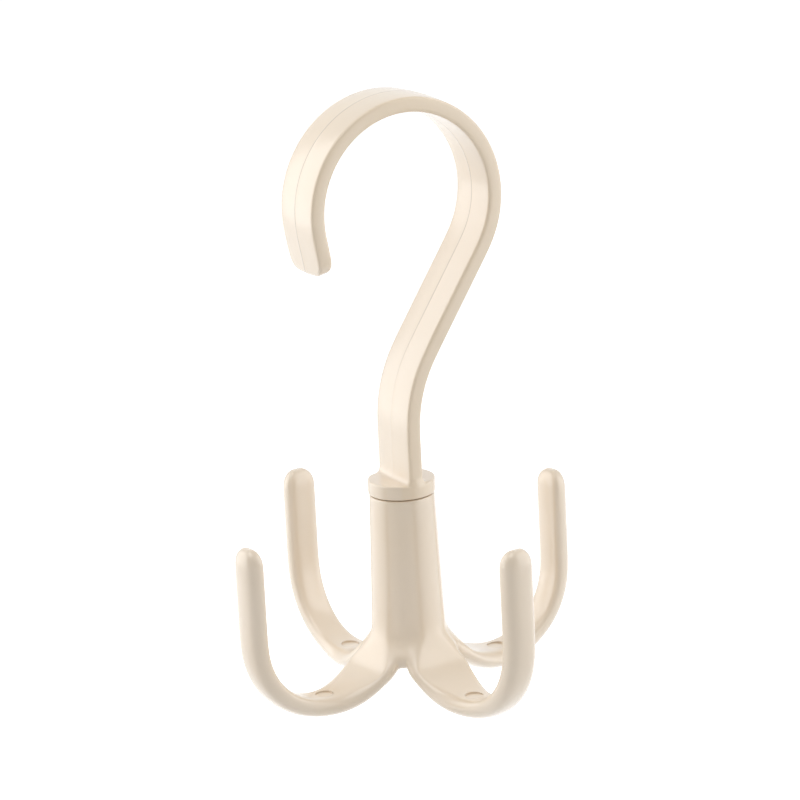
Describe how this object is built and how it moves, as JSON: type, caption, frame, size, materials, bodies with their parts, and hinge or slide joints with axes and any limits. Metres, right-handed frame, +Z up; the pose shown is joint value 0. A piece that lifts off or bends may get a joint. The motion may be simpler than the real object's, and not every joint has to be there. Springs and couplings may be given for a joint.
{
  "type": "rotating closet hook",
  "caption": "Question-mark rod hook with a collar and spigot that turns in the hub of a base of upturned claws, for hanging bags, belts and scarves in a closet.",
  "frame": {"origin": "on the swivel axis, level with the inside top of the loop, where the rod carries the hook", "axes": "+Z up along the swivel axis, the hook's band lies in the XZ plane with its width along Y, and its mouth opens towards -X"},
  "size_m": [0.1214, 0.1214, 0.1899],
  "materials": {
    "cream_plastic": "glossy moulded",
    "plated_steel": "zinc plated"
  },
  "bodies": {
    "hook": {"upper_hook": "cream_plastic", "retaining_washer": "plated_steel", "pivot_screw": "plated_steel"},
    "claws": {"claw_base": "cream_plastic"}
  },
  "joints": [
    {"name": "swivel", "type": "hinge", "parent": "hook", "child": "claws", "pos_m": [0, 0, -0.1375], "axis": [0, 0, 1], "continuous": true}
  ]
}
